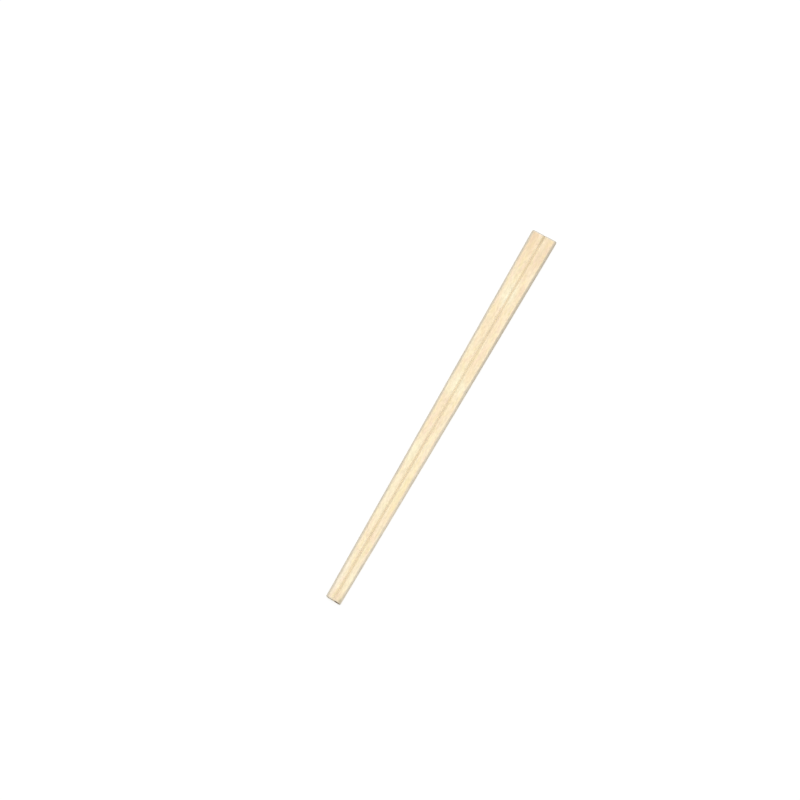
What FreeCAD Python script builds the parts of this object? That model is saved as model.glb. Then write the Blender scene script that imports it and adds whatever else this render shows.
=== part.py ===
"""Snap-apart chopsticks: one blank of pale wood that the two sticks are broken from.

The blank is sawn from sheet stock, so it is equally thick all along, and in plan it tapers
from a wide head to a narrow tip. Its outer edges are chamfered. A V-groove runs the whole
length of the upper face, over the line where the sticks part, and the lower face has the same
one. A knife split joins the two grooves. It is widest at the tip and closes towards a short
neck at the head, which alone holds the sticks together, so the pair is one solid.

Frame: the pair lies flat. +X runs along it from tip to head, +Z is up, and the origin is on
the surface it lies on, under the middle of its length and width. Lengths are in millimetres.
"""

import FreeCAD
import Part
import Sketcher

import os

from FreeCAD import Vector

OUTPUT_FOLDER = "parts"
NODE_NAME = "joined_pair"

# Each driving size: its alias on the sheet, its value, and what it measures.
SIZES = [
    ("blank_length", 203.0, "from tip to head"),
    ("head_width", 13.1, "across both sticks at the head"),
    ("tip_width", 7.8, "across both sticks at the tip"),
    ("stock_thickness", 4.5, "of the sheet that the blank is sawn from"),
    ("edge_chamfer", 0.95, "each leg, on the four long outer edges"),
    ("end_chamfer", 0.3, "each leg, round both ends"),
    ("groove_width", 1.25, "across the mouth of the V"),
    ("groove_depth", 0.55, "from the face to the root of the V"),
    ("neck_length", 28.0, "of the unsplit wood at the head"),
    ("split_at_tip", 0.04, "gap between the sticks at the tip"),
    ("split_at_neck", 0.02, "gap between the sticks where the split ends"),
    ("cutter_overrun", 2.0, "how far a cutter passes beyond the wood"),
]

# How much wider than at the tip the split would be where its cutter starts.
SPLIT_FLARE = (
    "(Sizes.split_at_tip - Sizes.split_at_neck) * Sizes.cutter_overrun"
    " / (Sizes.blank_length - Sizes.neck_length)"
)

SMALLEST_CUT = 0.01
FLAT = 1e-6


def make_sheet(doc):
    """Writes the driving sizes on a sheet, one to a row, each under its own alias."""
    sheet = doc.addObject("Spreadsheet::Sheet", "Sizes")
    for row, (alias, value, meaning) in enumerate(SIZES, start=1):
        sheet.set(f"A{row}", alias)
        sheet.set(f"B{row}", str(value))
        sheet.set(f"C{row}", meaning)
        sheet.setAlias(f"B{row}", alias)
    doc.recompute()


def origin_plane(body, role):
    """Finds the plane of the body's own origin that has this role, such as XY_Plane."""
    return next(item for item in body.Origin.OriginFeatures if item.Role == role)


def new_sketch(body, name, role):
    """Starts a sketch on one of the body's origin planes."""
    sketch = body.newObject("Sketcher::SketchObject", name)
    sketch.AttachmentSupport = [(origin_plane(body, role), "")]
    sketch.MapMode = "FlatFace"
    return sketch


def add_outline(sketch, corners):
    """Draws a closed outline of straight lines, joined end to end, from line 0 on."""
    count = len(corners)
    for i in range(count):
        sketch.addGeometry(Part.LineSegment(corners[i], corners[(i + 1) % count]), False)
    for i in range(count):
        sketch.addConstraint(Sketcher.Constraint("Coincident", i, 2, (i + 1) % count, 1))


def drive(sketch, name, formula, *constraint):
    """Adds a dimension to the sketch, names it, and binds it to a formula on the sheet."""
    index = sketch.addConstraint(Sketcher.Constraint(*constraint))
    sketch.renameConstraint(index, name)
    sketch.setExpression(f"Constraints.{name}", formula)


def draw_tapered_plan(sketch, tip_x, head_x, tip_width, head_width):
    """Draws a strip along X that is as wide on one side of the X axis as on the other.

    The four sizes are formulas. The lines are, in order, the right side, the head, the left
    side and the tip, and the numbers drawn with are only where the solver starts.
    """
    right, head, left, tip = range(4)
    add_outline(
        sketch,
        [Vector(-100, -4, 0), Vector(70, -6, 0), Vector(70, 6, 0), Vector(-100, 4, 0)],
    )
    for end in (head, tip):
        sketch.addConstraint(Sketcher.Constraint("Symmetric", end, 1, end, 2, -1))
    drive(sketch, "head_width", head_width, "DistanceY", head, 1, head, 2, 12.0)
    drive(sketch, "tip_width", tip_width, "DistanceY", tip, 2, tip, 1, 8.0)
    drive(sketch, "head_x", head_x, "DistanceX", -1, 1, right, 2, 70.0)
    drive(sketch, "tip_x", tip_x, "DistanceX", right, 1, -1, 1, 100.0)


def pad_blank(body):
    """The tapered blank, with the XY plane half way through its thickness."""
    sketch = new_sketch(body, "BlankPlan", "XY_Plane")
    draw_tapered_plan(
        sketch,
        tip_x="Sizes.blank_length / 2",
        head_x="Sizes.blank_length / 2",
        tip_width="Sizes.tip_width",
        head_width="Sizes.head_width",
    )
    pad = body.newObject("PartDesign::Pad", "Blank")
    pad.Profile = sketch
    pad.SideType = "Symmetric"
    pad.setExpression("Length", "Sizes.stock_thickness")
    return pad


def is_long(edge):
    """Tells whether an edge runs along the blank."""
    run = edge.Vertexes[-1].Point - edge.Vertexes[0].Point
    return abs(run.x) > abs(run.y) + abs(run.z)


def is_at_end(edge):
    """Tells whether an edge lies in one of the two end faces."""
    return edge.BoundBox.XLength < FLAT


def chamfer(body, base, name, size, wanted):
    """Chamfers those edges of the feature before it that the test accepts."""
    body.Document.recompute()
    edges = [f"Edge{i}" for i, edge in enumerate(base.Shape.Edges, start=1) if wanted(edge)]
    feature = body.newObject("PartDesign::Chamfer", name)
    feature.Base = (base, edges)
    feature.setExpression("Size", size)
    return feature


def cut_upper_groove(body):
    """The V-groove along the upper face, run out past both ends."""
    sketch = new_sketch(body, "GrooveSection", "YZ_Plane")
    mouth, slope = 0, 1
    add_outline(sketch, [Vector(-0.5, 2, 0), Vector(0.5, 2, 0), Vector(0, 1.5, 0)])
    sketch.addConstraint(Sketcher.Constraint("Symmetric", mouth, 1, mouth, 2, -2))
    sketch.addConstraint(Sketcher.Constraint("PointOnObject", slope, 2, -2))
    drive(sketch, "mouth", "Sizes.groove_width", "DistanceX", mouth, 1, mouth, 2, 1.0)
    drive(sketch, "depth", "Sizes.groove_depth", "DistanceY", slope, 2, mouth, 2, 0.5)
    drive(sketch, "face", "Sizes.stock_thickness / 2", "DistanceY", -1, 1, mouth, 2, 2.0)
    pocket = body.newObject("PartDesign::Pocket", "UpperGroove")
    pocket.Profile = sketch
    pocket.SideType = "Symmetric"
    pocket.setExpression("Length", "Sizes.blank_length + 2 * Sizes.cutter_overrun")
    return pocket


def mirror_groove(body, groove):
    """The same groove along the lower face."""
    mirrored = body.newObject("PartDesign::Mirrored", "LowerGroove")
    mirrored.Originals = [groove]
    mirrored.MirrorPlane = (origin_plane(body, "XY_Plane"), [""])
    body.Tip = mirrored
    return mirrored


def cut_split(body):
    """The split between the sticks, from the tip to the neck and right through."""
    sketch = new_sketch(body, "SplitPlan", "XY_Plane")
    draw_tapered_plan(
        sketch,
        tip_x="Sizes.blank_length / 2 + Sizes.cutter_overrun",
        head_x="Sizes.blank_length / 2 - Sizes.neck_length",
        tip_width=f"Sizes.split_at_tip + {SPLIT_FLARE}",
        head_width="Sizes.split_at_neck",
    )
    pocket = body.newObject("PartDesign::Pocket", "Split")
    pocket.Profile = sketch
    pocket.SideType = "Symmetric"
    pocket.setExpression("Length", "Sizes.stock_thickness + 2 * Sizes.cutter_overrun")
    return pocket


def make_joined_pair(doc):
    """Builds the pair and lists its features, in the order they are made."""
    body = doc.addObject("PartDesign::Body", "JoinedPair")
    body.Label = NODE_NAME
    body.setExpression("Placement.Base.z", "Sizes.stock_thickness / 2")

    blank = pad_blank(body)
    long_edges = chamfer(body, blank, "LongEdges", "Sizes.edge_chamfer", is_long)
    ends = chamfer(body, long_edges, "EndEdges", "Sizes.end_chamfer", is_at_end)
    upper_groove = cut_upper_groove(body)
    lower_groove = mirror_groove(body, upper_groove)
    split = cut_split(body)
    doc.recompute()
    return body, [blank, long_edges, ends, upper_groove, lower_groove, split]


def check_document(doc):
    """Stops if any object of the document failed to recompute."""
    for item in doc.Objects:
        if "Invalid" in item.State or "Error" in item.State:
            raise RuntimeError(f"{item.Label} failed: {item.State}")


def check_cuts(features):
    """Stops if a feature after the first took no wood away."""
    for before, after in zip(features, features[1:]):
        removed = before.Shape.Volume - after.Shape.Volume
        if removed < SMALLEST_CUT:
            raise RuntimeError(f"{after.Label} removes {removed:.4f} mm3")
        print(f"{after.Label} removes {removed:.2f} mm3")


def check_body(body):
    """Stops unless the body is one valid solid."""
    shape = body.Shape
    if shape.isNull() or not shape.isValid() or len(shape.Solids) != 1:
        raise RuntimeError(f"{body.Label} is not one valid solid")


def main():
    """Builds the document, checks it and writes the solid."""
    doc = FreeCAD.newDocument("Chopsticks")
    make_sheet(doc)
    body, features = make_joined_pair(doc)
    check_document(doc)
    check_cuts(features)
    check_body(body)

    os.makedirs(OUTPUT_FOLDER, exist_ok=True)
    body.Shape.exportStep(f"{OUTPUT_FOLDER}/{body.Label}.step")
    box = body.Shape.BoundBox
    print(f"{body.Label}: {body.Shape.Volume:.1f} mm3, {box.XLength:.2f} x {box.YLength:.2f}"
          f" x {box.ZLength:.2f} mm, lowest {box.ZMin:.3f} mm")


main()
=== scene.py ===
"""Snap-apart chopsticks in planed aspen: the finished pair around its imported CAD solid.

The pair is one blank of wood. Two sticks taper side by side from a wide head to a narrow tip,
parted by a V-groove in each face and by a split that stops short of the head, where a neck
still joins them. Everything here keeps the CAD frame: +X runs from tip to head, +Z is up and
the origin is under the middle of the pair. Shapes are worked out in millimetres and are turned
to metres once, when a mesh is finished.
"""

import logging
import math
from dataclasses import dataclass, field
from enum import Enum
from itertools import product
from typing import Callable, Optional, Union

import bmesh
import bpy
from bmesh.types import BMEdge, BMesh
from mathutils import Matrix, Vector, noise


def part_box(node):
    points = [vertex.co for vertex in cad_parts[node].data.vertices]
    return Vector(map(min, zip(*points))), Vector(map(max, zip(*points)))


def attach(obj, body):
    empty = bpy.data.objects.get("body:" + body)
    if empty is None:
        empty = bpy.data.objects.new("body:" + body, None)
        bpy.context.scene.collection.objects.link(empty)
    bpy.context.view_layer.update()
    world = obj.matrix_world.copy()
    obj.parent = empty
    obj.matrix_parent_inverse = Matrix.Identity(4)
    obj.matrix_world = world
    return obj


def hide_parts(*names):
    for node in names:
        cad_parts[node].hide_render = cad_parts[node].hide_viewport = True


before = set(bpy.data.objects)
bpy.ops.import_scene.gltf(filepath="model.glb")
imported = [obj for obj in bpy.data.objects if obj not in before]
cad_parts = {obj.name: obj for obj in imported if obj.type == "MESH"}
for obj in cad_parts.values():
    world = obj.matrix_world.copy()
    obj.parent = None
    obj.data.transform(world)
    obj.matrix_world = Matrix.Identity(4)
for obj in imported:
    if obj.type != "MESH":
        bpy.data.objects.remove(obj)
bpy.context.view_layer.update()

NODE = "joined_pair"
BODY = "root"
SLOT = "planed_aspen"
MILLIMETRES = 1000.0
METRES = 1.0 / MILLIMETRES
WHITE = (1, 1, 1, 1)

# In millimetres: points this near are one point, and a point this near a plane lies on it.
SAME_POINT = 1e-4
ON_PLANE = 1e-5

# Odd numbers, which carry each seed to a part of the noise of its own.
STRIDE = (17.3, -9.1, 5.7)

log = logging.getLogger("chopsticks")

Tree = bpy.types.NodeTree
Node = bpy.types.Node
Socket = bpy.types.NodeSocket
Value = Union[float, tuple, Socket, Node]


class Stick(Enum):
    """The two sticks, by the sign of Y. Left and right are as seen with the tips nearest."""

    LEFT = 1
    RIGHT = -1


class End(Enum):
    """The two ends, by the sign of X."""

    HEAD = 1
    TIP = -1


class Axis(Enum):
    """The three directions of the frame."""

    X = "X"
    Y = "Y"
    Z = "Z"


class Mark(Enum):
    """The places that are painted on the mesh from 0 to 1, for the finish to read."""

    ARRIS = "arris"
    GROOVE = "groove"
    SIDE = "side"
    SAWN = "sawn"
    RIM = "rim"


def linear(hex_colour: str) -> tuple[float, float, float, float]:
    """Turns an sRGB colour into the linear one that shaders work in.

    Args:
        hex_colour: Six hex digits after a hash.

    Returns:
        Linear red, green and blue, and an alpha of 1.
    """
    digits = hex_colour.lstrip("#")
    parts = [int(digits[i : i + 2], 16) / 255 for i in (0, 2, 4)]
    low = [part / 12.92 for part in parts]
    high = [((part + 0.055) / 1.055) ** 2.4 for part in parts]
    red, green, blue = (a if part <= 0.04045 else b for part, a, b in zip(parts, low, high))
    return red, green, blue, 1.0


def smoothstep(low: float, high: float, value: float) -> float:
    """Rises smoothly from 0 at low to 1 at high."""
    share = min(max((value - low) / (high - low), 0.0), 1.0)
    return share * share * (3 - 2 * share)


def fade(start: float, end: float, value: float) -> float:
    """Falls smoothly from 1 at start to 0 at end."""
    return 1 - smoothstep(start, end, value)


def spread(distance: float, factor: float, reach: float) -> float:
    """Scales how far an edge is, wholly within its reach and not at all past three times it."""
    return distance * (1 + (factor - 1) * fade(reach, 3 * reach, distance))


@dataclass(frozen=True)
class Wave:
    """A smooth wave in a surface, with its height and its length both ways.

    An endless length means no change that way. The seed sets the wave apart from the others.
    """

    height: float
    along: float
    across: float = math.inf
    seed: float = 0.0


def ripple(waves: tuple[Wave, ...], along: float, across: float = 0.0, apart: float = 0.0) -> float:
    """Adds waves up at one place of a surface.

    Args:
        waves: The waves.
        along: Where the place is, the first way.
        across: Where it is, the second way.
        apart: A number that gives each surface with these waves its own run of them.

    Returns:
        The sum, which is the same on every run.
    """
    total = 0.0
    for wave in waves:
        seed = wave.seed + apart
        first = along / wave.along + STRIDE[0] * seed
        second = across / wave.across + STRIDE[1] * seed
        total += wave.height * noise.noise(Vector((first, second, STRIDE[2] * seed)))
    return total


def add_node(
    tree: Tree,
    kind: str,
    inputs: Optional[dict[Union[str, int], Value]] = None,
    **settings: object,
) -> Node:
    """Adds a shader node with its settings, and fills or links its inputs.

    Args:
        tree: The node tree that the node goes into.
        kind: The node's type without its common first words, such as Math.
        inputs: What each input gets, by name or number: a plain value, a socket to link from,
            or a node, which is linked from its first output.
        settings: The node's own options.

    Returns:
        The new node.
    """
    made = tree.nodes.new(f"ShaderNode{kind}")
    for name, value in settings.items():
        setattr(made, name, value)
    for key, value in (inputs or {}).items():
        source = value.outputs[0] if isinstance(value, Node) else value
        if isinstance(source, Socket):
            tree.links.new(source, made.inputs[key])
        else:
            made.inputs[key].default_value = source
    return made


def looked_at(tree: Tree) -> Node:
    """Tells a backdrop that is looked at, plainly or through gloss or glass, from its light.

    Args:
        tree: The backdrop's nodes.

    Returns:
        1 where it is looked at and 0 where it only lights something.
    """
    path = add_node(tree, "LightPath")
    seen = path.outputs["Is Camera Ray"]
    for ray in ("Is Glossy Ray", "Is Transmission Ray"):
        seen = add_node(tree, "Math", {0: seen, 1: path.outputs[ray]}, operation="MAXIMUM")
    return seen


@dataclass(frozen=True)
class Figure:
    """Cloudy streaks in the wood.

    The size is how large one streak is along X, Y and Z, in millimetres. The seed sets the
    figure apart from the others. It gives a number from low to high, over which the window,
    a part of the noise's own range, is stretched. Detail adds that many finer layers, each
    as strong as the last times falloff.
    """

    size: tuple[float, float, float]
    seed: float
    low: float = 0.0
    high: float = 1.0
    detail: float = 3.0
    window: tuple[float, float] = (0.25, 0.75)
    falloff: float = 0.55


@dataclass(frozen=True)
class Stain:
    """A tone that comes and goes in the wood, and the figure that it follows."""

    tone: str
    figure: Figure


@dataclass(frozen=True)
class EndTone:
    """A tone that the faces take on near one end, from where it starts to where it is full."""

    end: End
    tone: str
    start: float
    full: float
    strength: float


@dataclass(frozen=True)
class Patch:
    """An oval patch of another tone on the wood. Lengths are in millimetres."""

    tone: str
    from_head: float
    y: float
    half_length: float
    half_width: float
    strength: float


@dataclass(frozen=True)
class Border:
    """A soft border across one axis: where a mark is still 0, and where it has risen to 1."""

    axis: Axis
    start: float
    full: float


@dataclass(frozen=True)
class Ground:
    """What the finish is worked out from: its nodes, and where on the pair the surface is.

    Place is in millimetres in the straight frame, and grain is the same place in the wood's
    own bent grain. The marks are those painted on the mesh.
    """

    tree: Tree
    length: float
    place: Node
    grain: Node
    marks: dict[Mark, Socket]


@dataclass(frozen=True)
class PlanedAspen:
    """Aspen, peeled into thick sheet, sawn, planed and left bare.

    Aspen is one of the palest hardwoods. It gives a cream ground with faint broad growth
    rings, fine straight fibres and pores too small to read as holes, and a dull, dry surface.
    The wood is tanner near the head, and sawn ends are rougher than the faces. Shade and light
    are partly painted on: painted shade along the arrises, round the end edges, in the groove and
    on the right side near the head, a painted highlight round both ends, and a painted shadow,
    nearly black, on the right of the tip's sawn end. Lengths are in millimetres. A rise or a fall
    goes from where it starts to where it is full.
    """

    body: str = "#FCEDCC"
    latewood: str = "#EFD9AE"
    pore: str = "#C9AC7C"
    end_grain: str = "#F7E6C4"
    end_ring: str = "#E6CFA4"
    end_pore: str = "#DCC8A0"
    # Painted shade: the grey laid along the arrises and round the end edges, where the chamfers
    # turn from the lamp.
    arris_shade: str = "#DFD6C3"
    # Painted shade: the darker tan in the groove.
    groove_shade: str = "#E7D7B8"
    # Painted shadow: brown at its fringe and nearly black inside, on the right of the tip's sawn
    # end.
    tip_shadow_edge: str = "#7C5A38"
    tip_shadow: str = "#2A1F16"
    # Painted shade: laid on the right side near the head and round the head's end edges.
    edge_shade: str = "#A59A86"
    # Painted highlight: the pale line round both ends.
    end_highlight: str = "#F5EBDC"
    grime: str = "#8E8568"
    end_tones: tuple[EndTone, ...] = (
        EndTone(End.HEAD, "#F0D6B4", 26.0, 14.0, 0.65),
        EndTone(End.TIP, "#F9E7C8", 9.0, 2.0, 0.5),
    )

    rough: float = 0.74
    rough_change: float = 0.08
    end_rough: float = 0.92
    dry_sheen: float = 0.3

    bend: Figure = Figure((45.0, 9.0, 9.0), 5.0, -0.9, 0.9, 1.0)
    ring_spacing: float = 2.1
    ring_rise: tuple[float, float] = (0.35, 0.9)
    ring_fall: tuple[float, float] = (1.0, 0.93)
    ring_drift: Figure = Figure((80.0, 7.0, 9.0), 3.0, -1.8, 1.8, 1.0)
    ring_wobble: Figure = Figure((20.0, 2.4, 3.0), 7.0, -0.3, 0.3, 2.0)
    ring_strength: Figure = Figure((30.0, 4.0, 4.0), 41.0, 0.05, 0.35)
    end_ring_strength: float = 0.6
    stains: tuple[Stain, ...] = (
        Stain("#FADDC3", Figure((7.0, 2.4, 2.4), 19.0, 0.0, 0.85, 2.0, (0.48, 0.72))),
        Stain("#F9E7B0", Figure((7.0, 2.4, 2.4), 29.0, 0.0, 0.7, 2.0, (0.48, 0.72))),
        Stain("#F0E6C2", Figure((7.0, 2.4, 2.4), 37.0, 0.0, 0.6, 2.0, (0.48, 0.72))),
        Stain("#F5DFBE", Figure((28.0, 5.0, 5.0), 83.0, 0.0, 0.8, 1.0, (0.45, 0.7))),
        Stain("#FDF2D4", Figure((28.0, 5.0, 5.0), 97.0, 0.0, 0.55, 1.0, (0.45, 0.7))),
        Stain("#F8E6B2", Figure((4.0, 1.2, 1.2), 71.0, 0.0, 0.5, 1.0, (0.5, 0.68))),
        Stain("#FADFC6", Figure((4.0, 1.2, 1.2), 73.0, 0.0, 0.6, 1.0, (0.5, 0.68))),
    )
    patches: tuple[Patch, ...] = (
        Patch("#FDF5D8", 33.5, 0.5, 9.0, 4.2, 0.8),
        Patch("#EED3B2", 12.0, -3.2, 12.0, 1.9, 0.4),
        Patch("#F7DFBE", 51.0, 0.0, 13.0, 5.5, 0.45),
        Patch("#F7DFC0", 69.0, -3.0, 10.0, 2.0, 0.4),
        Patch("#FDF4D4", 84.0, 0.0, 8.0, 5.0, 0.75),
        Patch("#F7E2C2", 103.0, -2.6, 8.0, 2.0, 0.4),
        Patch("#FDF4D3", 122.0, 2.3, 9.0, 2.4, 0.85),
        Patch("#FEF5D4", 146.0, 2.2, 20.0, 2.3, 0.5),
        Patch("#F8E4AE", 143.0, -2.3, 17.0, 1.9, 0.45),
        Patch("#F8E3C2", 161.0, -2.2, 9.0, 1.8, 0.4),
        Patch("#FDF2D4", 189.0, -2.2, 10.0, 1.7, 0.7),
        Patch("#E8C8A6", 3.0, 4.3, 8.5, 1.9, 0.5),
        Patch("#F0D0AA", 8.5, 2.2, 7.0, 1.7, 0.4),
        Patch("#F3D8B4", 31.0, -3.8, 8.5, 1.9, 0.45),
        Patch("#F5DAB0", 78.5, -2.8, 5.0, 1.9, 0.45),
        Patch("#FEF6E2", 190.0, 2.7, 14.0, 1.4, 0.55),
    )
    patch_edge: tuple[float, float] = (1.25, 0.3)
    patch_depth: float = 100.0

    # Aspen's vessels are 0.05 mm to 0.1 mm wide and too fine to show. Both kinds of pores are
    # drawn wider, as they run along a face and as dots on a sawn end.
    pores: Figure = Figure((1.6, 0.12, 0.12), 43.0, 0.0, 0.45, 1.0, (0.66, 0.8))
    end_pores: Figure = Figure((40.0, 0.11, 0.11), 47.0, 0.0, 0.8, 1.0, (0.45, 0.75))

    # Fibres are about 0.03 mm wide and too fine to show. Their light and dark streaks are drawn
    # as bundles of ten or more, and so are the ridges that planing raised from them.
    shades: tuple[Figure, ...] = (
        Figure((8.0, 0.32, 0.32), 11.0, -0.05, 0.05),
        Figure((45.0, 1.2, 1.2), 13.0, -0.015, 0.015),
        Figure((1.8, 0.7, 0.7), 17.0, -0.11, 0.11),
    )
    fibre_relief: Figure = Figure((9.0, 0.2, 0.2), 23.0, -0.008, 0.008)
    nap: Figure = Figure((1.2, 0.4, 0.4), 27.0, -0.006, 0.006)
    rough_places: Figure = Figure((16.0, 0.32, 0.32), 31.0, -1.0, 1.0)
    plane_pitch: float = 2.6
    plane_depth: float = 0.002
    groove_smooth: float = 0.6

    # A fine saw leaves scores about 0.05 mm apart, drawn nearly twice as coarse to show.
    saw_scores: Figure = Figure((1.0, 0.09, 1.8), 61.0, -0.02, 0.02)

    groove_shade_cloud: Figure = Figure((8.0, 1.0, 1.0), 67.0, 0.6, 0.85)
    arris_shade_cloud: Figure = Figure((5.0, 1.5, 1.5), 53.0, 0.5, 1.1)
    # How strong the painted highlight round the ends is.
    end_highlight_strength: float = 0.7
    # Painted shade on the right side, nearer the head.
    side_shade: float = 0.3
    side_shade_borders: tuple[Border, ...] = (Border(Axis.Y, -3, -4), Border(Axis.X, -30, 50))
    # Painted shade round the head's end edges.
    head_end_shade: float = 0.6
    head_end_border: Border = Border(Axis.X, 0.0, 1.0)
    specks: Figure = Figure((0.9, 0.3, 0.3), 59.0, 0.0, 0.7, 2.0, (0.52, 0.74))
    speckled: tuple[float, float] = (2.6, 0.6)
    # The first spot greys a small patch at the right corner of the tip. The second and third are
    # painted shade, darkening the groove near the head, and the last lightens the groove near the
    # tip.
    spots: tuple[Patch, ...] = (
        Patch("#B7AA8A", 201.6, -2.9, 1.5, 0.8, 0.5),
        Patch("#BFAA82", 1.0, 0.0, 6.0, 0.95, 0.35),
        Patch("#DCC49A", 18.0, 0.0, 22.0, 0.7, 0.15),
        Patch("#F3E2C6", 202.0, 0.0, 3.0, 1.0, 0.8),
    )
    # Where the painted shadow on the tip's sawn end lies.
    tip_shadow_cloud: Figure = Figure((2.0, 1.8, 0.35), 63.0, 0.3, 1.4, 2.0)
    tip_shadow_borders: tuple[Border, ...] = (
        Border(Axis.X, 0.0, -1.0),
        Border(Axis.Y, 0.0, -1.9),
        Border(Axis.Y, -3.8, -2.1),
        Border(Axis.Z, 0.6, 4.2),
    )
    tip_shadow_edge_spread: float = 2.0

    def pattern(self, tree: Tree, where: Node, figure: Figure) -> Node:
        """Lays out one figure of the wood.

        Args:
            tree: The material's nodes.
            where: Where the surface is, straight or in the bent grain.
            figure: The streaks to lay out.

        Returns:
            A number from the figure's low to its high.
        """
        spaced = add_node(
            tree,
            "Mapping",
            {
                "Vector": where,
                "Scale": tuple(1 / side for side in figure.size),
                "Location": (figure.seed, -figure.seed, 2 * figure.seed),
            },
        )
        layers = {"Scale": 1.0, "Detail": figure.detail, "Roughness": figure.falloff}
        cloud = add_node(tree, "TexNoise", {"Vector": spaced, **layers})
        return add_node(
            tree,
            "MapRange",
            {
                "Value": cloud,
                "From Min": figure.window[0],
                "From Max": figure.window[1],
                "To Min": figure.low,
                "To Max": figure.high,
            },
        )

    def beyond(self, ground: Ground, border: Border) -> Node:
        """Marks the wood beyond a soft border.

        Args:
            ground: The nodes and the place.
            border: The border.

        Returns:
            0 on the near side of the border and 1 on the far side.
        """
        axes = add_node(ground.tree, "SeparateXYZ", {0: ground.place})
        at = axes.outputs[border.axis.value]
        return add_node(
            ground.tree,
            "MapRange",
            {"Value": at, "From Min": border.start, "From Max": border.full},
            interpolation_type="SMOOTHSTEP",
        )

    def near_end(self, ground: Ground, end: End, start: float, full: float) -> Node:
        """Marks the wood near one end, from 0 at start to 1 at full, both measured from it."""
        places = [end.value * (ground.length / 2 - distance) for distance in (start, full)]
        return self.beyond(ground, Border(Axis.X, *places))

    def within(self, ground: Ground, patch: Patch) -> Node:
        """Marks a soft oval, through the whole thickness.

        Args:
            ground: The nodes and the place.
            patch: The oval.

        Returns:
            1 in the oval's middle and 0 outside it.
        """
        centred = add_node(
            ground.tree,
            "Mapping",
            {
                "Vector": ground.place,
                "Location": (ground.length / 2 - patch.from_head, patch.y, 0),
                "Scale": (patch.half_length, patch.half_width, self.patch_depth),
            },
            vector_type="TEXTURE",
        )
        away = add_node(ground.tree, "VectorMath", {0: centred}, operation="LENGTH")
        start, full = self.patch_edge
        return add_node(
            ground.tree,
            "MapRange",
            {"Value": away.outputs["Value"], "From Min": start, "From Max": full},
            interpolation_type="SMOOTHSTEP",
        )

    def stain(
        self, tree: Tree, colour: Value, tone: Union[str, Socket], shares: list[Value]
    ) -> Socket:
        """Lays another tone over the wood.

        Args:
            tree: The material's nodes.
            colour: The colour so far.
            tone: The colour laid over it.
            shares: How much of it shows, as numbers that are multiplied together.

        Returns:
            The new colour.
        """
        amount = shares[0]
        for share in shares[1:]:
            amount = add_node(tree, "Math", {0: amount, 1: share}, operation="MULTIPLY")
        over = linear(tone) if isinstance(tone, str) else tone
        laid = add_node(tree, "Mix", {"Factor": amount, 6: colour, 7: over}, data_type="RGBA")
        return laid.outputs[2]

    def bent(self, tree: Tree, place: Node) -> Node:
        """Bends straight positions a little, as the grain runs in a real board.

        Args:
            tree: The material's nodes.
            place: Where the surface is, in millimetres.

        Returns:
            The same place in the bent grain.
        """
        shift = self.pattern(tree, place, self.bend)
        sideways = add_node(tree, "CombineXYZ", {"Y": shift, "Z": shift})
        return add_node(tree, "VectorMath", {0: place, 1: sideways}, operation="ADD")

    def rings(self, ground: Ground) -> Node:
        """Finds the latewood, in growth sheets that lie nearly level and so wander on a face.

        Args:
            ground: The nodes and the place.

        Returns:
            1 in the densest latewood and 0 in the earlywood.
        """
        tree = ground.tree
        depth = add_node(tree, "SeparateXYZ", {0: ground.grain}).outputs["Z"]
        for figure in (self.ring_drift, self.ring_wobble):
            shift = self.pattern(tree, ground.grain, figure)
            depth = add_node(tree, "Math", {0: depth, 1: shift}, operation="ADD")
        age = add_node(tree, "Math", {0: depth, 1: self.ring_spacing}, operation="DIVIDE")
        year = add_node(tree, "Math", {0: age}, operation="FRACT")
        late, spring = (
            add_node(
                tree,
                "MapRange",
                {"Value": year, "From Min": start, "From Max": full},
                interpolation_type="SMOOTHSTEP",
            )
            for start, full in (self.ring_rise, self.ring_fall)
        )
        return add_node(tree, "Math", {0: late, 1: spring}, operation="MULTIPLY")

    def planed_colour(self, ground: Ground) -> Socket:
        """Gives the colour of the planed faces from head to tip.

        Args:
            ground: The nodes and the place.

        Returns:
            The colour.
        """
        tree = ground.tree
        colour = linear(self.body)
        for near in self.end_tones:
            reached = self.near_end(ground, near.end, near.start, near.full)
            colour = self.stain(tree, colour, near.tone, [reached, near.strength])
        for stain in self.stains:
            cloud = self.pattern(tree, ground.place, stain.figure)
            colour = self.stain(tree, colour, stain.tone, [cloud])
        for patch in self.patches:
            inside = self.within(ground, patch)
            colour = self.stain(tree, colour, patch.tone, [inside, patch.strength])
        strength = self.pattern(tree, ground.grain, self.ring_strength)
        colour = self.stain(tree, colour, self.latewood, [self.rings(ground), strength])
        pores = self.pattern(tree, ground.grain, self.pores)
        return self.stain(tree, colour, self.pore, [pores])

    def sawn_colour(self, ground: Ground) -> Socket:
        """Gives the colour of the sawn ends, where the pores show as dots.

        Args:
            ground: The nodes and the place.

        Returns:
            The colour.
        """
        tree = ground.tree
        rings = [self.rings(ground), self.end_ring_strength]
        colour = self.stain(tree, linear(self.end_grain), self.end_ring, rings)
        pores = self.pattern(tree, ground.grain, self.end_pores)
        return self.stain(tree, colour, self.end_pore, [pores])

    def shade_and_wear(self, ground: Ground, colour: Socket) -> Socket:
        """Adds painted shade and light, and what tools and hands leave.

        Painted shade lies along the arrises, round the end edges, in the groove, on the right side
        near the head and round the head's end. A painted highlight runs round both ends, grime
        specks lie near the tip, and a painted shadow, brown at its fringe and nearly black inside,
        lies on the right of the tip's sawn end.

        Args:
            ground: The nodes and the place.
            colour: The colour of the clean wood.

        Returns:
            The colour once the painted shade, the painted highlight and the wear are laid on.
        """
        tree, place, marks = ground.tree, ground.place, ground.marks
        sawn, arris = marks[Mark.SAWN], marks[Mark.ARRIS]
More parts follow.
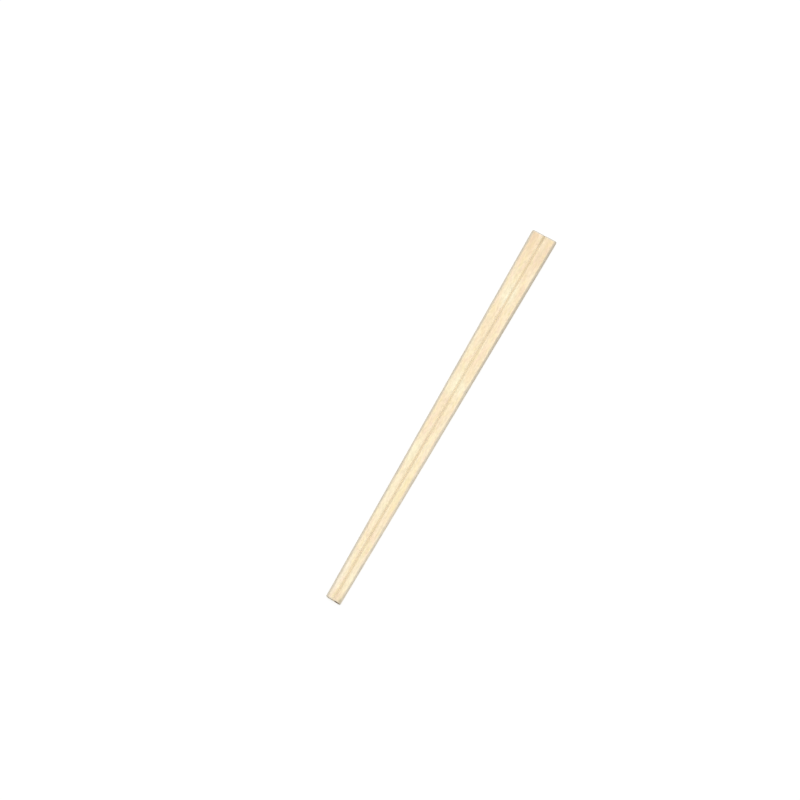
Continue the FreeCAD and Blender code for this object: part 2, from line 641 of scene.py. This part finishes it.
        # Painted shade in the groove.
        groove_shade_cloud = self.pattern(tree, place, self.groove_shade_cloud)
        colour = self.stain(tree, colour, self.groove_shade, [marks[Mark.GROOVE], groove_shade_cloud])
        # Painted highlight round both ends.
        colour = self.stain(tree, colour, self.end_highlight, [marks[Mark.RIM], self.end_highlight_strength])
        # Painted shade along the arrises and round the end edges.
        arris_shade_cloud = self.pattern(tree, place, self.arris_shade_cloud)
        colour = self.stain(tree, colour, self.arris_shade, [arris, arris_shade_cloud])

        # Painted shade on the right side, nearer the head.
        side_zone = [self.beyond(ground, border) for border in self.side_shade_borders]
        shares = [marks[Mark.SIDE], *side_zone, self.side_shade]
        colour = self.stain(tree, colour, self.edge_shade, shares)
        specks = self.pattern(tree, place, self.specks)
        at_tip = self.near_end(ground, End.TIP, *self.speckled)
        planed = add_node(tree, "Math", {0: 1.0, 1: sawn}, operation="SUBTRACT")
        colour = self.stain(tree, colour, self.grime, [specks, at_tip, planed])
        for spot in self.spots:
            inside = self.within(ground, spot)
            colour = self.stain(tree, colour, spot.tone, [inside, spot.strength])
        # Painted shade round the head's end edges.
        at_head = self.beyond(ground, self.head_end_border)
        shares = [arris, sawn, at_head, arris_shade_cloud, self.head_end_shade]
        colour = self.stain(tree, colour, self.edge_shade, shares)

        # Painted shadow on the right of the tip's sawn end, brown at its fringe and nearly black
        # inside.
        tip_shadow_shares = [sawn, self.pattern(tree, place, self.tip_shadow_cloud)]
        tip_shadow_shares += [self.beyond(ground, border) for border in self.tip_shadow_borders]
        colour = self.stain(tree, colour, self.tip_shadow_edge, [*tip_shadow_shares, self.tip_shadow_edge_spread])
        return self.stain(tree, colour, self.tip_shadow, tip_shadow_shares)

    def shaded(self, ground: Ground, pressed: Node, colour: Socket) -> Node:
        """Makes the colour lighter and darker from one bundle of fibres to the next.

        Args:
            ground: The nodes and the place.
            pressed: How flat the cutter pressed the fibres, which evens their shades.
            colour: The colour so far.

        Returns:
            The new colour.
        """
        tree = ground.tree
        shade = 1.0
        for figure in self.shades:
            change = self.pattern(tree, ground.grain, figure)
            shade = add_node(tree, "Math", {0: shade, 1: change}, operation="ADD")
        scale = add_node(tree, "Mix", {0: pressed, 2: shade, 3: 1.0}, data_type="FLOAT")
        return add_node(tree, "VectorMath", {0: colour, "Scale": scale}, operation="SCALE")

    def roughness(self, ground: Ground) -> Node:
        """Varies the roughness from fibre to fibre, with the ends the roughest.

        Args:
            ground: The nodes and the place.

        Returns:
            The roughness.
        """
        change = self.pattern(ground.tree, ground.grain, self.rough_places)
        varied = {0: change, 1: self.rough_change, 2: self.rough}
        planed = add_node(ground.tree, "Math", varied, operation="MULTIPLY_ADD")
        mixed = {0: ground.marks[Mark.SAWN], 2: planed, 3: self.end_rough}
        return add_node(ground.tree, "Mix", mixed, data_type="FLOAT")

    def relief(self, ground: Ground, pressed: Node) -> Node:
        """Raises the fibres along the faces and the saw's scores across the ends.

        Args:
            ground: The nodes and the place.
            pressed: How flat the cutter pressed the fibres, which it did in the groove.

        Returns:
            The bumped normal.
        """
        tree = ground.tree
        x = add_node(tree, "SeparateXYZ", {0: ground.place}).outputs["X"]
        turns = {0: x, 1: math.tau / self.plane_pitch}
        turn = add_node(tree, "Math", turns, operation="MULTIPLY")
        wave = add_node(tree, "Math", {0: turn}, operation="SINE")
        fibres = self.pattern(tree, ground.grain, self.fibre_relief)
        ridged = {0: wave, 1: self.plane_depth, 2: fibres}
        planed = add_node(tree, "Math", ridged, operation="MULTIPLY_ADD")
        nap = self.pattern(tree, ground.place, self.nap)
        face = add_node(tree, "Math", {0: planed, 1: nap}, operation="ADD")
        flat = add_node(tree, "Mix", {0: pressed, 2: face, 3: 0.0}, data_type="FLOAT")
        scores = self.pattern(tree, ground.place, self.saw_scores)
        either = {0: ground.marks[Mark.SAWN], 2: flat, 3: scores}
        height = add_node(tree, "Mix", either, data_type="FLOAT")
        return add_node(tree, "Bump", {"Height": height, "Distance": METRES, "Strength": 1.0})

    def material(self, length: float) -> bpy.types.Material:
        """Builds the wood for a pair that lies along X.

        Args:
            length: The pair's length in millimetres.

        Returns:
            The material.
        """
        made = bpy.data.materials.new(SLOT)
        made.use_nodes = True
        tree = made.node_tree
        tree.nodes.clear()
        where = {0: add_node(tree, "TexCoord").outputs["Object"], "Scale": MILLIMETRES}
        place = add_node(tree, "VectorMath", where, operation="SCALE")
        marks = {
            mark: add_node(tree, "Attribute", attribute_name=mark.value).outputs["Fac"]
            for mark in Mark
        }
        ground = Ground(tree, length, place, self.bent(tree, place), marks)
        smoothed = {0: marks[Mark.GROOVE], 1: self.groove_smooth}
        pressed = add_node(tree, "Math", smoothed, operation="MULTIPLY")

        colour = self.planed_colour(ground)
        colour = self.stain(tree, colour, self.sawn_colour(ground), [marks[Mark.SAWN]])
        colour = self.shade_and_wear(ground, colour)
        surface = add_node(
            tree,
            "BsdfPrincipled",
            {
                "Base Color": self.shaded(ground, pressed, colour),
                "Roughness": self.roughness(ground),
                "Specular IOR Level": self.dry_sheen,
                "Normal": self.relief(ground, pressed),
            },
        )
        add_node(tree, "OutputMaterial", {"Surface": surface})
        return made


@dataclass(frozen=True)
class Nick:
    """A place where a splinter came away and left the arris cut deeper, in millimetres."""

    stick: Stick
    from_tip: float
    length: float
    depth: float


@dataclass(frozen=True)
class Knock:
    """An upright corner that is rounded over, and its radius in millimetres."""

    end: End
    stick: Stick
    radius: float


@dataclass(frozen=True)
class Unevenness:
    """How far quick sawing, grooving and tumbling leave the wood from its drawn shape.

    Lengths are in millimetres. A size that changes is a share of its drawn value. A cut and
    its waves together never push the wood out past its drawn faces, and each cut fades out
    over its reach from the edge or face that it belongs to.
    """

    belly: float = 0.06
    side_cut: float = 0.035
    side_waves: tuple[Wave, ...] = (Wave(0.0245, 24.0, 9.0, 31.0), Wave(0.0105, 5.0, 4.0, 34.0))
    face_cut: float = 0.01
    face_waves: tuple[Wave, ...] = (Wave(0.01, 11.0, 3.2, 41.0),)
    face_reach: tuple[float, float] = (0.5, 2.0)
    left_arris: float = 1.0
    right_arris: float = 0.95
    arris_waves: tuple[Wave, ...] = (Wave(0.2, 17.0, seed=3.0), Wave(0.1, 3.1, seed=12.0))
    end_edge_waves: tuple[Wave, ...] = (Wave(0.2, 1.7, seed=5.0),)
    end_edge_reach: float = 1.2
    groove_waves: tuple[Wave, ...] = (Wave(0.12, 13.0, seed=12.0), Wave(0.03, 4.0, seed=14.0))
    wander_waves: tuple[Wave, ...] = (Wave(0.13, 26.0, 9.0, 21.0), Wave(0.0156, 7.0, 9.0, 23.0))
    saw_cut: float = 0.02
    saw_waves: tuple[Wave, ...] = (Wave(0.012, 0.7, 2.0, 51.0), Wave(0.012, 3.0, 3.0, 51.0))
    saw_reach: float = 0.5
    head_slope: float = 0.028
    tip_slope: float = 0.034
    square_again: float = 12.0
    knocks: tuple[Knock, ...] = (
        Knock(End.HEAD, Stick.LEFT, 0.3),
        Knock(End.HEAD, Stick.RIGHT, 0.15),
        Knock(End.TIP, Stick.RIGHT, 0.4),
    )
    nicks: tuple[Nick, ...] = (
        Nick(Stick.RIGHT, 45.0, 4.0, 0.14),
        Nick(Stick.RIGHT, 117.0, 3.2, 0.1),
        Nick(Stick.RIGHT, 139.0, 3.6, 0.1),
        Nick(Stick.LEFT, 71.0, 3.0, 0.12),
        Nick(Stick.LEFT, 158.0, 2.6, 0.12),
    )
    nick_deepest: float = 0.2

    def arris(self, x: float, stick: Stick, top: bool) -> float:
        """Says how many times its drawn width an outer arris has at x."""
        usual = self.right_arris if stick is Stick.RIGHT else self.left_arris
        return usual + ripple(self.arris_waves, x, apart=stick.value + 4.0 * top)

    def nick(self, from_tip: float, stick: Stick, top: bool) -> float:
        """Says how much deeper an arris is cut where a splinter came away.

        Args:
            from_tip: How far the place is from the tip.
            stick: The stick that the arris is on.
            top: Whether it is the upper arris.

        Returns:
            The added depth.
        """
        deeper = 0.0
        for nick in self.nicks:
            if top and stick is nick.stick:
                share = (from_tip - nick.from_tip) / nick.length
                in_share = smoothstep(0.0, self.nick_deepest, share)
                deeper += nick.depth * in_share * fade(self.nick_deepest, 1.0, share)
        return deeper

    def groove(self, x: float, top: bool) -> float:
        """Says how many times its drawn size a groove has at x."""
        return 1 + ripple(self.groove_waves, x, apart=5.0 * top)

    def end_edge(self, y: float, end: End, top: bool) -> float:
        """Says how many times its drawn size the chamfer round an end has at y."""
        return 1 + ripple(self.end_edge_waves, y, apart=end.value + 2 * top)

    def side(self, x: float, z: float, stick: Stick) -> float:
        """Says how far an outer side is planed in at x."""
        return self.side_cut + ripple(self.side_waves, x, z, stick.value)

    def face(self, x: float, y: float, top: bool) -> float:
        """Says how far the upper or lower face is planed in at a point."""
        return self.face_cut + ripple(self.face_waves, x, y, 3.0 * top)

    def saw(self, y: float, z: float, end: End) -> float:
        """Says how far the sawn end is torn in at a point."""
        return self.saw_cut + ripple(self.saw_waves, y, z, end.value)


@dataclass
class JoinedPair:
    """The blank: both sticks, the neck that joins them, and their grooves and split.

    Sizes are in millimetres. The ones that the CAD box gives are read from it. The split is
    finer here than in the CAD solid, because the fuzz on its walls closes it to a hairline.
    The painted shade on an arris weakens over the last part of its width, from the side. The
    painted shade in the groove fades out between two shares of its half width, and the painted
    highlight round an end between two distances from the end and from the nearest face.
    """

    finish: PlanedAspen
    hand: Unevenness
    chamfer: float = 0.95
    groove_half: float = 0.625
    groove_depth: float = 0.55
    neck: float = 28.0
    split_at_tip: float = 0.016
    split_at_neck: float = 0.01
    edge_round: float = 0.1
    end_chamfer: float = 0.3
    crisp: float = math.radians(32)
    stations: int = 330
    column: float = 0.36
    end_rows: tuple[float, ...] = (0.42, 0.6, 0.85)
    arris_fade: float = 0.4
    arris_full: float = 0.3
    groove_fade: tuple[float, float] = (0.6, 1.4)
    end_highlight_length: tuple[float, float] = (0.4, 0.9)
    end_highlight_width: tuple[float, float] = (0.2, 0.7)
    length: float = field(init=False)
    head_half: float = field(init=False)
    tip_half: float = field(init=False)
    thickness: float = field(init=False)

    def __post_init__(self) -> None:
        """Reads the outer sizes from the CAD solid."""
        low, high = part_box(NODE)
        self.length = (high.x - low.x) * MILLIMETRES
        self.head_half = (high.y - low.y) / 2 * MILLIMETRES
        self.thickness = (high.z - low.z) * MILLIMETRES
        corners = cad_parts[NODE].data.vertices
        near_tip = [abs(v.co.y) for v in corners if v.co.x < low.x + METRES]
        self.tip_half = max(near_tip) * MILLIMETRES

    def bevel(self, bm: BMesh, edges: list[BMEdge], offset: float, segments: int) -> None:
        """Cuts or rounds edges back by the same offset on both sides.

        Args:
            bm: The mesh.
            edges: Its edges to cut back.
            offset: How far from the edge the cut meets each face.
            segments: 1 for a flat chamfer, and more for a round.
        """
        bmesh.ops.bevel(
            bm,
            geom=edges,
            offset=offset,
            offset_type="OFFSET",
            segments=segments,
            profile=0.5,
            affect="EDGES",
            material=-1,
            clamp_overlap=False,
        )

    def long_edges(self, bm: BMesh, wanted: Callable[[Vector], bool]) -> list[BMEdge]:
        """Finds edges that run the length of the blank.

        Args:
            bm: The mesh.
            wanted: What the middle of such an edge has to pass.

        Returns:
            The edges.
        """
        found = []
        for edge in bm.edges:
            first, last = (vert.co for vert in edge.verts)
            if abs(first.x - last.x) > self.length / 2 and wanted((first + last) / 2):
                found.append(edge)
        return found

    def shown(self, bm: BMesh) -> list[BMEdge]:
        """Finds the edges of one stick that don't lie in its inner wall."""
        inner = self.groove_half / 2
        return [edge for edge in bm.edges if any(vert.co.y > inner for vert in edge.verts)]

    def cut(self, bm: BMesh, axis: Axis, at: float) -> None:
        """Draws a line round the mesh where a plane across one axis meets it.

        Args:
            bm: The mesh.
            axis: The axis that the plane lies across.
            at: Where on that axis the plane is.
        """
        normal = Vector([float(axis is other) for other in Axis])
        geom = bm.verts[:] + bm.edges[:] + bm.faces[:]
        bmesh.ops.bisect_plane(bm, geom=geom, dist=ON_PLANE, plane_co=normal * at, plane_no=normal)

    def shape_half(self) -> BMesh:
        """Makes one stick of even width, chamfered, grooved and rounded, with few faces.

        Returns:
            The stick, with its inner wall at y = 0.
        """
        bm = bmesh.new()
        bmesh.ops.create_cube(bm, size=1.0)
        bmesh.ops.scale(bm, vec=(self.length, self.head_half, self.thickness), verts=bm.verts)
        middle = self.head_half / 2
        bmesh.ops.translate(bm, vec=(0, middle, self.thickness / 2), verts=bm.verts)
        self.bevel(bm, self.long_edges(bm, lambda at: at.y > middle), self.chamfer, 1)
        self.bevel(bm, self.long_edges(bm, lambda at: at.y < middle), self.groove_depth, 1)
        for vert in bm.verts:
            if abs(vert.co.y - self.groove_depth) < SAME_POINT:
                vert.co.y = self.groove_half

        end = self.length / 2 - SAME_POINT
        outline = [
            edge for edge in self.shown(bm) if all(abs(vert.co.x) > end for vert in edge.verts)
        ]
        self.bevel(bm, outline, self.end_chamfer, 1)
        bm.normal_update()
        sharp = [edge for edge in self.shown(bm) if edge.calc_face_angle(0.0) > self.crisp]
        self.bevel(bm, sharp, self.edge_round, 2)
        return bm

    def divide(self, bm: BMesh) -> None:
        """Divides the faces finely enough to carry the wood's small unevenness.

        Args:
            bm: The stick.
        """
        every = self.long_edges(bm, lambda at: True)
        bmesh.ops.subdivide_edges(bm, edges=every, cuts=self.stations)
        rows = math.ceil(self.thickness / self.column)
        for row in range(1, rows):
            self.cut(bm, Axis.Z, self.thickness * row / rows)
        columns = math.ceil(self.head_half / self.column)
        for column in range(1, columns):
            self.cut(bm, Axis.Y, self.head_half * column / columns)
        self.cut(bm, Axis.X, self.length / 2 - self.neck)
        for end, row in product(End, self.end_rows):
            self.cut(bm, Axis.X, end.value * (self.length / 2 - row))

    def join(self, bm: BMesh) -> None:
        """Opens the split, adds the mirrored stick and joins both at the neck.

        Args:
            bm: The stick, divided.
        """
        split_end = self.length / 2 - self.neck
        inside = [
            face
            for face in bm.faces
            if all(
                abs(vert.co.y) < ON_PLANE and vert.co.x > split_end - SAME_POINT
                for vert in face.verts
            )
        ]
        bmesh.ops.delete(bm, geom=inside, context="FACES")
        for vert in bm.verts:
            if vert.co.x < split_end - SAME_POINT:
                along = (split_end - vert.co.x) / (self.length - self.neck)
                gap = self.split_at_neck + (self.split_at_tip - self.split_at_neck) * along
                vert.co.y += gap / 2 * fade(0.0, self.groove_half, vert.co.y)
        half = bm.verts[:] + bm.edges[:] + bm.faces[:]
        bmesh.ops.mirror(bm, geom=half, merge_dist=SAME_POINT, axis="Y")
        bmesh.ops.remove_doubles(bm, verts=bm.verts, dist=SAME_POINT)
        bmesh.ops.recalc_face_normals(bm, faces=bm.faces)

    def depths(self, co: Vector) -> tuple[float, float, float]:
        """Says how far a point of the even pair is from the outer side, the face and the end."""
        from_face = min(co.z, self.thickness - co.z)
        return self.head_half - abs(co.y), from_face, self.length / 2 - abs(co.x)

    def knocked(self, u: float, w: float, end: End, stick: Stick) -> tuple[float, float]:
        """Rounds over the upright corners that took a knock.

        Args:
            u: How far a point is from the outer side.
            w: How far it is from the end.
            end: The end that it is nearer to.
            stick: The stick that it is on.

        Returns:
            The two distances once the corner is rounded.
        """
        for knock in self.hand.knocks:
            radius = knock.radius
            if end is knock.end and stick is knock.stick and u < radius and w < radius:
                out = Vector((radius - u, radius - w))
                out *= max(out) / out.length
                u, w = radius - out.x, radius - out.y
        return u, w

    def settle(self, co: Vector) -> Vector:
        """Moves a point of the even pair to its place on the tapered and uneven one.

        Args:
            co: The point, on a pair whose sticks are still as wide at the tip as at the head.

        Returns:
            Where the point lies on the finished pair.
        """
        hand = self.hand
        stick = Stick.LEFT if co.y > 0 else Stick.RIGHT
        end = End.HEAD if co.x > 0 else End.TIP
        top = co.z > self.thickness / 2
        from_side, from_face, from_end = self.depths(co)
        from_middle = abs(co.y)
        from_tip = self.length / 2 + co.x

        # Arrises, grooves and end edges are wider in some places than in others. From here on
        # u, v and w are how far the point is from the outer side, the face and the end.
        arris_reach = self.chamfer + 2 * self.edge_round
        groove_reach = self.groove_half + 2 * self.edge_round
        end_reach = self.end_chamfer + 2 * self.edge_round
        nick = hand.nick(from_tip, stick, top)
        arris = hand.arris(co.x, stick, top) + nick / self.chamfer
        groove = hand.groove(co.x, top)
        end_edge = hand.end_edge(co.y, end, top)
        by_side = fade(arris_reach, 3 * arris_reach, from_side)
        by_middle = fade(groove_reach, 3 * groove_reach, from_middle)
        by_end = fade(end_reach, 3 * end_reach, from_end)
        w = spread(from_end, end_edge, end_reach)
        v = from_face
        v += by_side * (spread(from_face, arris, arris_reach) - from_face)
        v += by_middle * (spread(from_face, groove, self.groove_depth) - from_face)
        v += by_end * (spread(from_face, end_edge, end_reach) - from_face)
        v += hand.face(co.x, co.y, top) * fade(*hand.face_reach, from_face)
        u = spread(from_side, arris, arris_reach)
        cut_in = spread(from_side, end_edge, end_reach) - from_side
        u += by_end * cut_in * fade(0.0, hand.end_edge_reach, from_side)
        u, w = self.knocked(u, w, end, stick)

        # The sides close in towards the tip, and the middle follows the wandering groove.
        inner = self.groove_half + self.edge_round
        outer = self.head_half - self.chamfer - self.edge_round
        share = min(max((from_middle - inner) / (outer - inner), 0.0), 1.0)
        along = from_tip / self.length
        half = self.tip_half + (self.head_half - self.tip_half) * along
        half += hand.belly * 4 * along * (1 - along) - hand.side(co.x, co.z, stick)
        across = self.head_half - u - share * (self.head_half - half)
        across += spread(from_middle, groove, groove_reach) - from_middle
        y = stick.value * across + ripple(hand.wander_waves, co.x, co.z) * (1 - share)
        z = self.thickness - v if top else v

        # The ends are sawn a little off square and torn by the teeth.
        slope = hand.head_slope if end is End.HEAD else hand.tip_slope
        half_end = self.head_half if end is End.HEAD else self.tip_half
        w += slope * (y + half_end) * fade(0.0, hand.square_again, from_end)
        w += hand.saw(y, z, end) * fade(0.0, hand.saw_reach, from_end)
        return Vector((end.value * (self.length / 2 - w), y, z))

    def roughen(self, bm: BMesh) -> None:
        """Settles every point of the pair, and paints on it what the finish reads.

        Args:
            bm: The even pair.
        """
        arris, groove, side, sawn, rim = (bm.verts.layers.float.new(mark.value) for mark in Mark)
        reach = self.chamfer + self.edge_round + SAME_POINT
        end_reach = self.end_chamfer + self.edge_round + SAME_POINT
        groove_edges = [share * self.groove_half for share in self.groove_fade]
        for vert in bm.verts:
            from_side, from_face, from_end = self.depths(vert.co)
            at_end = max(from_end, from_face) < end_reach
            along = max(from_side, from_face) < reach
            # The arris mark carries the painted shade along the arrises and round the end edges.
            grey = 1 - self.arris_fade * smoothstep(self.arris_full * reach, reach, from_side)
            vert[arris] = 1.0 if at_end else grey * along
            # The side mark carries the painted shade on the right side.
            vert[side] = float(from_side < reach)
            vert[sawn] = fade(0.0, self.end_chamfer + self.edge_round, from_end)
            # The groove mark carries the painted shade in the groove, and evens the fibres there.
            vert[groove] = fade(*groove_edges, abs(vert.co.y)) * (1 - vert[sawn])
            # The rim mark carries the painted highlight round both ends.
            vert[rim] = fade(*self.end_highlight_length, from_end)
            vert[rim] *= fade(*self.end_highlight_width, min(from_face, from_side))
            vert.co = self.settle(vert.co)

    def build(self) -> bpy.types.Object:
        """Makes the finished pair and stands it in for the CAD solid.

        Returns:
            The pair's object.
        """
        bm = self.shape_half()
        self.divide(bm)
        self.join(bm)
        self.roughen(bm)
        bmesh.ops.scale(bm, vec=(METRES, METRES, METRES), verts=bm.verts)
        mesh = bpy.data.meshes.new("chopstick_pair")
        bm.to_mesh(mesh)
        bm.free()
        mesh.shade_smooth()
        mesh.set_sharp_from_angle(angle=self.crisp)
        mesh.materials.append(self.finish.material(self.length))
        pair = bpy.data.objects.new("chopstick_pair", mesh)
        bpy.context.scene.collection.objects.link(pair)
        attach(pair, BODY)
        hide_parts(NODE)
        return pair


@dataclass(frozen=True)
class MattPaint:
    """Matt white paint on a flat board. It has no gloss and looks as white as paper.

    Where it is looked at, the paint glows a little, which makes it white in a plain light and
    still keeps the pair's shadow. On the pair it throws only the light that it bounces.
    """

    shade: float = 0.32
    glow: float = 0.74
    bounce: float = 0.75

    def material(self) -> bpy.types.Material:
        """Builds the paint.

        Returns:
            The material.
        """
        made = bpy.data.materials.new("matt_white_paint")
        made.use_nodes = True
        tree = made.node_tree
        tree.nodes.clear()
        lit = add_node(tree, "BsdfDiffuse", {"Color": (*[self.shade] * 3, 1)})
        glow = add_node(tree, "Emission", {"Color": WHITE, "Strength": self.glow})
        seen = add_node(tree, "AddShader", {0: lit, 1: glow})
        unseen = add_node(tree, "BsdfDiffuse", {"Color": (*[self.bounce] * 3, 1)})
        both = add_node(tree, "MixShader", {0: looked_at(tree), 1: unseen, 2: seen})
        add_node(tree, "OutputMaterial", {"Surface": both})
        return made


@dataclass
class Studio:
    """A white table under one large soft lamp, seen steeply from above the tips.

    Lengths are in millimetres and angles in degrees. The table lies a hair's breadth below
    the pair, so that the two surfaces never coincide.
    """

    paint: MattPaint
    view_height: float = 81.0
    pair_turn: float = 29.95
    view_width: float = 381.7
    right_of_middle: float = 18.95
    below_middle: float = 8.1
    lens: float = 150.0
    sensor: float = 36.0
    nearest_seen: float = 50.0
    furthest_seen: float = 20000.0
    floor_side: float = 1000.0
    floor_gap: float = 0.02
    key_power: float = 10.9
    key_side: float = 1000.0
    key_height: float = 1100.0
    key_right: float = 30.0
    key_up: float = 30.0
    fill: float = 0.3

    def axes(self) -> tuple[Vector, Vector]:
        """Gives the level directions that read as right and as up in the view.

        Returns:
            Right and up.
        """
        turn = math.radians(self.pair_turn)
        right = Vector((math.sin(turn), -math.cos(turn), 0))
        up = Vector((math.cos(turn), math.sin(turn), 0))
        return right, up

    def camera(self) -> None:
        """Sets the camera up with a long lens."""
        right, up = self.axes()
        height = math.radians(self.view_height)
        low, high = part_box(NODE)
        aim = (low + high) / 2 - right * self.right_of_middle * METRES
        aim += up * self.below_middle / math.sin(height) * METRES
        distance = self.view_width / self.sensor * self.lens * METRES
        away = Vector((0, 0, math.sin(height))) - up * math.cos(height)
        facing = Matrix((right, away.cross(right), away)).transposed().to_4x4()
        data = bpy.data.cameras.new("camera")
        data.lens = self.lens
        data.sensor_width = self.sensor
        data.clip_start = self.nearest_seen * METRES
        data.clip_end = self.furthest_seen * METRES
        camera = bpy.data.objects.new("camera", data)
        camera.matrix_world = Matrix.Translation(aim + away * distance) @ facing
        bpy.context.scene.collection.objects.link(camera)
        bpy.context.scene.camera = camera

    def table(self) -> bpy.types.Object:
        """Lays the table under the pair.

        Returns:
            The table's object.
        """
        bm = bmesh.new()
        bmesh.ops.create_grid(bm, x_segments=1, y_segments=1, size=self.floor_side / 2 * METRES)
        mesh = bpy.data.meshes.new("table")
        bm.to_mesh(mesh)
        bm.free()
        mesh.materials.append(self.paint.material())
        table = bpy.data.objects.new("table", mesh)
        table.location.z = -self.floor_gap * METRES
        bpy.context.scene.collection.objects.link(table)
        return table

    def lamp(self) -> None:
        """Hangs the soft lamp above and a little to the view's upper right."""
        right, up = self.axes()
        data = bpy.data.lights.new("soft_lamp", "AREA")
        data.shape = "SQUARE"
        data.size = self.key_side * METRES
        data.energy = self.key_power
        lamp = bpy.data.objects.new("soft_lamp", data)
        over = Vector((0, 0, self.key_height))
        place = (over + right * self.key_right + up * self.key_up) * METRES
        facing = place.to_track_quat("Z", "Y").to_matrix().to_4x4()
        lamp.matrix_world = Matrix.Translation(place) @ facing
        bpy.context.scene.collection.objects.link(lamp)

    def room(self) -> None:
        """Fills the shadows evenly, and shows white behind the table."""
        made = bpy.data.worlds.new("white_room")
        bpy.context.scene.world = made
        made.use_nodes = True
        tree = made.node_tree
        tree.nodes.clear()
        levels = {"Value": looked_at(tree), "To Min": self.fill, "To Max": 1.0}
        strength = add_node(tree, "MapRange", levels)
        back = add_node(tree, "Background", {"Color": WHITE, "Strength": strength})
        add_node(tree, "OutputWorld", {"Surface": back})

    def build(self) -> bpy.types.Object:
        """Sets up the camera, the light, the room and the table.

        Returns:
            The table's object.
        """
        bpy.context.scene.view_settings.view_transform = "Standard"
        self.camera()
        self.lamp()
        self.room()
        return self.table()


def main() -> None:
    """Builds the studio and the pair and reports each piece."""
    logging.basicConfig(level=logging.INFO, format="%(name)s: %(message)s")
    for part in (Studio(MattPaint()), JoinedPair(PlanedAspen(), Unevenness())):
        piece = part.build()
        log.info("%s: %d faces", piece.name, len(piece.data.polygons))


if __name__ == "__main__":
    main()
